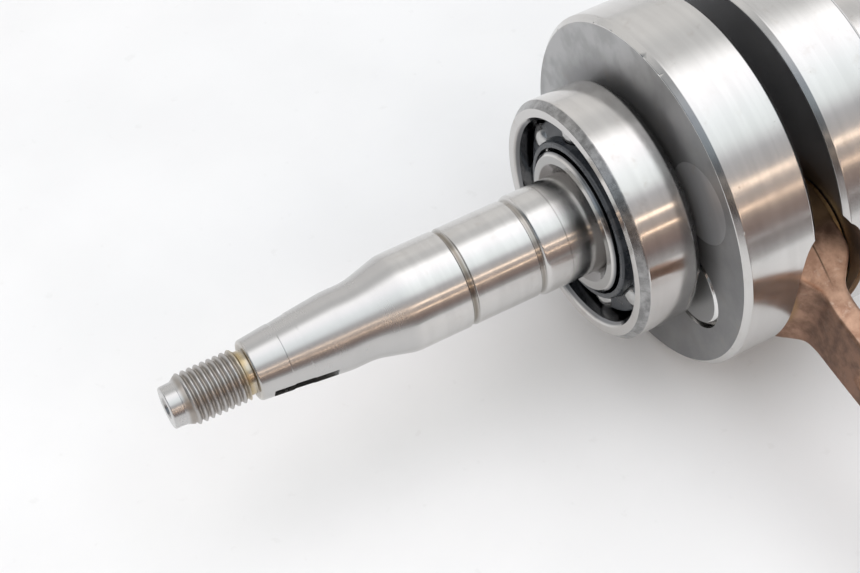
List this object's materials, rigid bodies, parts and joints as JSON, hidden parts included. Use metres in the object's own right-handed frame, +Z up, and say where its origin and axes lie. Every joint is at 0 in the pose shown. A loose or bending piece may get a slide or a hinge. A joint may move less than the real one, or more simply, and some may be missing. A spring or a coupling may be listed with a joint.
{
  "type": "built-up crankshaft",
  "caption": "Built-up single-throw crankshaft with round full webs, tapered rotor shaft, ball main bearings and a forged connecting rod on a needle big end.",
  "frame": {"origin": "on the crank axis, at the mid-plane between the two webs", "axes": "+X along the crank axis from the rotor end to the drive end, +Z up; the webs' rims reach down to the plane z = -50 mm"},
  "size_m": [0.2586, 0.2025, 0.1],
  "materials": {
    "ground_steel": "ground",
    "plug_steel": "turned",
    "bearing_steel": "fine ground",
    "copper_plate": "copper plated forging",
    "bronze": "satin",
    "cage_polyamide": "moulded"
  },
  "bodies": {
    "crank": {"left_crank_half": "ground_steel", "right_crank_half": "ground_steel", "crank_pin": "ground_steel", "left_web_plug_a": "plug_steel", "left_web_plug_b": "plug_steel", "right_web_plug_a": "plug_steel", "right_web_plug_b": "plug_steel", "left_bearing_inner_ring": "bearing_steel", "right_bearing_inner_ring": "bearing_steel"},
    "rod": {"connecting_rod": "copper_plate"},
    "big_end_bearing": {"big_end_cage": "bronze", "big_end_needle_01": "bearing_steel", "big_end_needle_02": "bearing_steel", "big_end_needle_03": "bearing_steel", "big_end_needle_04": "bearing_steel", "big_end_needle_05": "bearing_steel", "big_end_needle_06": "bearing_steel", "big_end_needle_07": "bearing_steel", "big_end_needle_08": "bearing_steel", "big_end_needle_09": "bearing_steel", "big_end_needle_10": "bearing_steel", "big_end_needle_11": "bearing_steel", "big_end_needle_12": "bearing_steel", "big_end_needle_13": "bearing_steel", "big_end_needle_14": "bearing_steel", "big_end_needle_15": "bearing_steel", "big_end_needle_16": "bearing_steel"},
    "left_washer": {"left_thrust_washer": "bronze"},
    "right_washer": {"right_thrust_washer": "bronze"},
    "left_outer_ring": {"left_bearing_outer_ring": "bearing_steel"},
    "left_ball_set": {"left_bearing_cage": "cage_polyamide", "left_bearing_ball_1": "bearing_steel", "left_bearing_ball_2": "bearing_steel", "left_bearing_ball_3": "bearing_steel", "left_bearing_ball_4": "bearing_steel", "left_bearing_ball_5": "bearing_steel", "left_bearing_ball_6": "bearing_steel", "left_bearing_ball_7": "bearing_steel", "left_bearing_ball_8": "bearing_steel"},
    "right_outer_ring": {"right_bearing_outer_ring": "bearing_steel"},
    "right_ball_set": {"right_bearing_cage": "cage_polyamide", "right_bearing_ball_1": "bearing_steel", "right_bearing_ball_2": "bearing_steel", "right_bearing_ball_3": "bearing_steel", "right_bearing_ball_4": "bearing_steel", "right_bearing_ball_5": "bearing_steel", "right_bearing_ball_6": "bearing_steel", "right_bearing_ball_7": "bearing_steel", "right_bearing_ball_8": "bearing_steel"}
  },
  "joints": [
    {"name": "rod_swing", "type": "hinge", "parent": "crank", "child": "rod", "pos_m": [0, -0.02725, -0.00992], "axis": [1, 0, 0], "continuous": true},
    {"name": "big_end_bearing_roll", "type": "hinge", "parent": "crank", "child": "big_end_bearing", "pos_m": [0, -0.02725, -0.00992], "axis": [1, 0, 0], "continuous": true},
    {"name": "left_washer_turn", "type": "hinge", "parent": "crank", "child": "left_washer", "pos_m": [-0.01, -0.02725, -0.00992], "axis": [1, 0, 0], "continuous": true},
    {"name": "right_washer_turn", "type": "hinge", "parent": "crank", "child": "right_washer", "pos_m": [0.01, -0.02725, -0.00992], "axis": [1, 0, 0], "continuous": true},
    {"name": "left_bearing_spin", "type": "hinge", "parent": "crank", "child": "left_outer_ring", "pos_m": [-0.0372, 0, 0], "axis": [1, 0, 0], "continuous": true},
    {"name": "left_ball_roll", "type": "hinge", "parent": "crank", "child": "left_ball_set", "pos_m": [-0.0372, 0, 0], "axis": [1, 0, 0], "continuous": true},
    {"name": "right_bearing_spin", "type": "hinge", "parent": "crank", "child": "right_outer_ring", "pos_m": [0.0372, 0, 0], "axis": [1, 0, 0], "continuous": true},
    {"name": "right_ball_roll", "type": "hinge", "parent": "crank", "child": "right_ball_set", "pos_m": [0.0372, 0, 0], "axis": [1, 0, 0], "continuous": true}
  ],
  "couplings": [
    {"joint": "big_end_bearing_roll", "follows": "rod_swing", "ratio": 0.5556},
    {"joint": "left_ball_roll", "follows": "left_bearing_spin", "ratio": 0.6183},
    {"joint": "right_ball_roll", "follows": "right_bearing_spin", "ratio": 0.6183}
  ]
}
